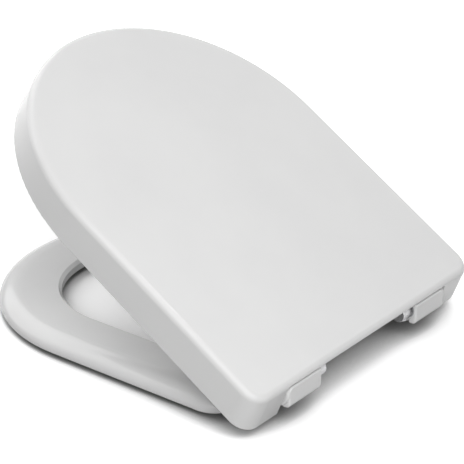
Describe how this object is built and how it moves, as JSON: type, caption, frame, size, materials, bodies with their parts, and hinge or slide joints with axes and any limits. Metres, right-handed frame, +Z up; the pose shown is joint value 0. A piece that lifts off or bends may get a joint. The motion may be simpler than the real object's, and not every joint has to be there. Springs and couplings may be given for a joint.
{
  "type": "toilet seat",
  "caption": "D-shaped gloss white toilet seat with a wrap-over lid, a domed seat ring and damped hinges on posts that fit the bowl's studs.",
  "frame": {"origin": "midway between the two stud bores, on the feet of the hinge posts", "axes": "X along the hinge axis, +X to the sitter's left; -Y to the front of the seat; +Z up from the bowl's rim"},
  "size_m": [0.3748, 0.438, 0.2719],
  "materials": {
    "white_plastic": "gloss",
    "buffer_rubber": "matte",
    "hinge_metal": "satin",
    "steel": "plain",
    "grey_plastic": "matte",
    "damper_plastic": "matte",
    "seal_rubber": "matte"
  },
  "bodies": {
    "hinge_posts": {"hinge_post_left": "hinge_metal", "hinge_post_right": "hinge_metal", "grub_screw_left": "steel", "grub_screw_right": "steel", "damper_rotor_left": "damper_plastic", "damper_rotor_right": "damper_plastic"},
    "seat_ring": {"seat_ring": "white_plastic", "seat_buffer_front_left": "buffer_rubber", "seat_buffer_front_right": "buffer_rubber", "seat_buffer_rear_left": "buffer_rubber", "seat_buffer_rear_right": "buffer_rubber", "hinge_bush_left": "grey_plastic", "hinge_bush_right": "grey_plastic", "damper_housing_right": "damper_plastic", "damper_cap_right": "damper_plastic", "damper_seal_right": "seal_rubber", "lid_pivot_pin": "steel"},
    "lid": {"lid": "white_plastic", "lid_buffer_front_left": "buffer_rubber", "lid_buffer_front_right": "buffer_rubber", "lid_buffer_rear_left": "buffer_rubber", "lid_buffer_rear_right": "buffer_rubber", "lid_pivot_bush": "grey_plastic", "damper_housing_left": "damper_plastic", "damper_cap_left": "damper_plastic", "damper_seal_left": "seal_rubber"}
  },
  "joints": [
    {"name": "ring_hinge", "type": "hinge", "parent": "hinge_posts", "child": "seat_ring", "pos_m": [0, 0, 0.009], "axis": [-1, 0, 0], "range_deg": [0, 100]},
    {"name": "lid_hinge", "type": "hinge", "parent": "seat_ring", "child": "lid", "pos_m": [0, 0, 0.009], "axis": [-1, 0, 0], "range_deg": [-31.65, 78.35]}
  ]
}
